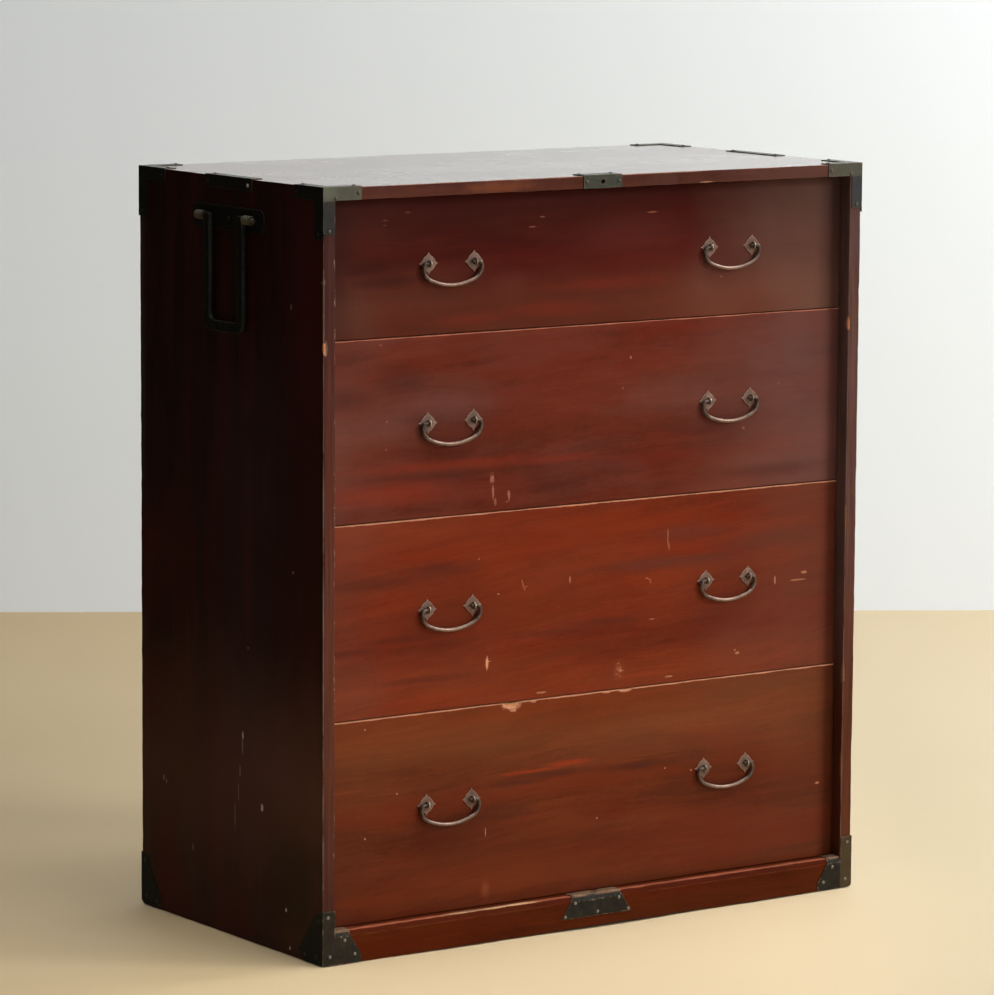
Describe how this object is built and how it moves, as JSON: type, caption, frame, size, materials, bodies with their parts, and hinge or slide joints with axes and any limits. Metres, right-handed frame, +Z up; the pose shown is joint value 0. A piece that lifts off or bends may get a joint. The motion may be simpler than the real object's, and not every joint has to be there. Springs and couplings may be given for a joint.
{
  "type": "chest of drawers",
  "caption": "Floor-standing Japanese storage chest with stacked full-width drawers, drop bail handles, iron corner straps and a swinging carrying bail on each side.",
  "frame": {"origin": "on the floor, under the middle of the carcass", "axes": "+X to the right seen from the front, +Y to the back, +Z up; the drawers open along -Y"},
  "size_m": [0.8048, 0.4082, 0.9021],
  "materials": {
    "front_lacquer": "red-brown wiped lacquer over horizontal grain, satin",
    "top_lacquer": "dark red-brown lacquer, gloss",
    "side_lacquer": "near-black red-brown lacquer over vertical grain, satin",
    "back_wood": "plain aged softwood board",
    "inner_wood": "bare aged softwood",
    "corner_iron": "blackened forged iron sheet, worn",
    "handle_iron": "forged iron with a rubbed brown patina",
    "nail_iron": "rubbed iron nail heads"
  },
  "bodies": {
    "case": {"back_panel": "back_wood", "bottom_panel": "inner_wood", "corner_iron_bottom_front_left": "corner_iron", "corner_iron_bottom_front_right": "corner_iron", "corner_iron_bottom_rear_left": "corner_iron", "corner_iron_bottom_rear_right": "corner_iron", "corner_iron_top_front_left": "corner_iron", "corner_iron_top_front_right": "corner_iron", "corner_iron_top_rear_left": "corner_iron", "corner_iron_top_rear_right": "corner_iron", "divider_board_1": "inner_wood", "divider_board_2": "inner_wood", "divider_board_3": "inner_wood", "edge_strap_left": "corner_iron", "edge_strap_right": "corner_iron", "front_sill": "front_lacquer", "iron_nails": "nail_iron", "lock_plate": "corner_iron", "side_handle_plate_left": "corner_iron", "side_handle_plate_right": "corner_iron", "side_handle_staples_left": "handle_iron", "side_handle_staples_right": "handle_iron", "side_panel_left": "side_lacquer", "side_panel_right": "side_lacquer", "sill_plate": "corner_iron", "top_panel": "top_lacquer"},
    "drawer_1": {"drawer_1_back": "inner_wood", "drawer_1_bottom": "inner_wood", "drawer_1_front": "front_lacquer", "drawer_1_handle_plates": "handle_iron", "drawer_1_handle_posts": "handle_iron", "drawer_1_sides": "inner_wood"},
    "drawer_2": {"drawer_2_back": "inner_wood", "drawer_2_bottom": "inner_wood", "drawer_2_front": "front_lacquer", "drawer_2_handle_plates": "handle_iron", "drawer_2_handle_posts": "handle_iron", "drawer_2_sides": "inner_wood"},
    "drawer_3": {"drawer_3_back": "inner_wood", "drawer_3_bottom": "inner_wood", "drawer_3_front": "front_lacquer", "drawer_3_handle_plates": "handle_iron", "drawer_3_handle_posts": "handle_iron", "drawer_3_sides": "inner_wood"},
    "drawer_4": {"drawer_4_back": "inner_wood", "drawer_4_bottom": "inner_wood", "drawer_4_front": "front_lacquer", "drawer_4_handle_plates": "handle_iron", "drawer_4_handle_posts": "handle_iron", "drawer_4_sides": "inner_wood"},
    "bail_1_left": {"drawer_1_bail_left": "handle_iron"},
    "bail_1_right": {"drawer_1_bail_right": "handle_iron"},
    "bail_2_left": {"drawer_2_bail_left": "handle_iron"},
    "bail_2_right": {"drawer_2_bail_right": "handle_iron"},
    "bail_3_left": {"drawer_3_bail_left": "handle_iron"},
    "bail_3_right": {"drawer_3_bail_right": "handle_iron"},
    "bail_4_left": {"drawer_4_bail_left": "handle_iron"},
    "bail_4_right": {"drawer_4_bail_right": "handle_iron"},
    "side_bail_left": {"side_handle_bail_left": "handle_iron"},
    "side_bail_right": {"side_handle_bail_right": "handle_iron"}
  },
  "joints": [
    {"name": "drawer_1_slide", "type": "slide", "parent": "case", "child": "drawer_1", "axis": [0, -1, 0], "range_m": [0, 0.33]},
    {"name": "drawer_2_slide", "type": "slide", "parent": "case", "child": "drawer_2", "axis": [0, -1, 0], "range_m": [0, 0.33]},
    {"name": "drawer_3_slide", "type": "slide", "parent": "case", "child": "drawer_3", "axis": [0, -1, 0], "range_m": [0, 0.33]},
    {"name": "drawer_4_slide", "type": "slide", "parent": "case", "child": "drawer_4", "axis": [0, -1, 0], "range_m": [0, 0.33]},
    {"name": "bail_1_left_swing", "type": "hinge", "parent": "drawer_1", "child": "bail_1_left", "pos_m": [-0.2036, -0.1888, 0.806], "axis": [-1, 0, 0], "range_deg": [-2, 182]},
    {"name": "bail_1_right_swing", "type": "hinge", "parent": "drawer_1", "child": "bail_1_right", "pos_m": [0.2036, -0.1888, 0.806], "axis": [-1, 0, 0], "range_deg": [-2, 182]},
    {"name": "bail_2_left_swing", "type": "hinge", "parent": "drawer_2", "child": "bail_2_left", "pos_m": [-0.2036, -0.1888, 0.6207], "axis": [-1, 0, 0], "range_deg": [-2, 182]},
    {"name": "bail_2_right_swing", "type": "hinge", "parent": "drawer_2", "child": "bail_2_right", "pos_m": [0.2036, -0.1888, 0.6207], "axis": [-1, 0, 0], "range_deg": [-2, 182]},
    {"name": "bail_3_left_swing", "type": "hinge", "parent": "drawer_3", "child": "bail_3_left", "pos_m": [-0.2036, -0.1888, 0.402], "axis": [-1, 0, 0], "range_deg": [-2, 182]},
    {"name": "bail_3_right_swing", "type": "hinge", "parent": "drawer_3", "child": "bail_3_right", "pos_m": [0.2036, -0.1888, 0.402], "axis": [-1, 0, 0], "range_deg": [-2, 182]},
    {"name": "bail_4_left_swing", "type": "hinge", "parent": "drawer_4", "child": "bail_4_left", "pos_m": [-0.2036, -0.1888, 0.171], "axis": [-1, 0, 0], "range_deg": [-2, 182]},
    {"name": "bail_4_right_swing", "type": "hinge", "parent": "drawer_4", "child": "bail_4_right", "pos_m": [0.2036, -0.1888, 0.171], "axis": [-1, 0, 0], "range_deg": [-2, 182]},
    {"name": "side_bail_left_swing", "type": "hinge", "parent": "case", "child": "side_bail_left", "pos_m": [-0.397, 0, 0.853], "axis": [0, 1, 0], "range_deg": [-1, 180]},
    {"name": "side_bail_right_swing", "type": "hinge", "parent": "case", "child": "side_bail_right", "pos_m": [0.397, 0, 0.853], "axis": [0, -1, 0], "range_deg": [-1, 180]}
  ]
}
